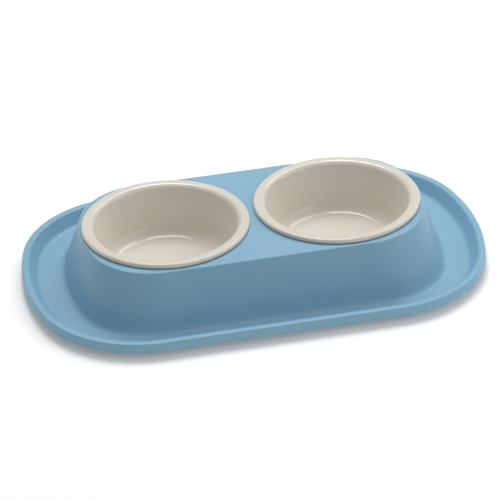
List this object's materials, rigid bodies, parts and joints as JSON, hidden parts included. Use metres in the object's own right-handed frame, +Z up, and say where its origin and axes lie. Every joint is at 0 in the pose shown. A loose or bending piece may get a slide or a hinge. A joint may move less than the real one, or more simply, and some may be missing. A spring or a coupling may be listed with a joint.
{
  "type": "double pet bowl",
  "caption": "Moulded feeder tray with a raised stand, a turned-down spill lip, round lift-out food and water bowls, and rubber pads underneath.",
  "frame": {"origin": "centre of the tray, on the ground plane that the rubber pads stand on", "axes": "+X along the row of bowls, -Y is the front, +Z up"},
  "size_m": [0.4206, 0.2618, 0.0585],
  "materials": {
    "base_plastic": "fine matt moulded plastic, pale blue",
    "bowl_plastic": "smooth satin-gloss moulded plastic, warm off-white",
    "pad_rubber": "soft dark grey rubber"
  },
  "bodies": {
    "base": {"feeder_base": "base_plastic", "pad_front_left": "pad_rubber", "pad_front_right": "pad_rubber", "pad_back_left": "pad_rubber", "pad_back_right": "pad_rubber"},
    "left_bowl": {"bowl_left": "bowl_plastic"},
    "right_bowl": {"bowl_right": "bowl_plastic"}
  },
  "joints": [
    {"name": "left_bowl_lift", "type": "slide", "parent": "base", "child": "left_bowl", "axis": [0, 0, 1], "range_m": [0, 0.06]},
    {"name": "right_bowl_lift", "type": "slide", "parent": "base", "child": "right_bowl", "axis": [0, 0, 1], "range_m": [0, 0.06]}
  ]
}
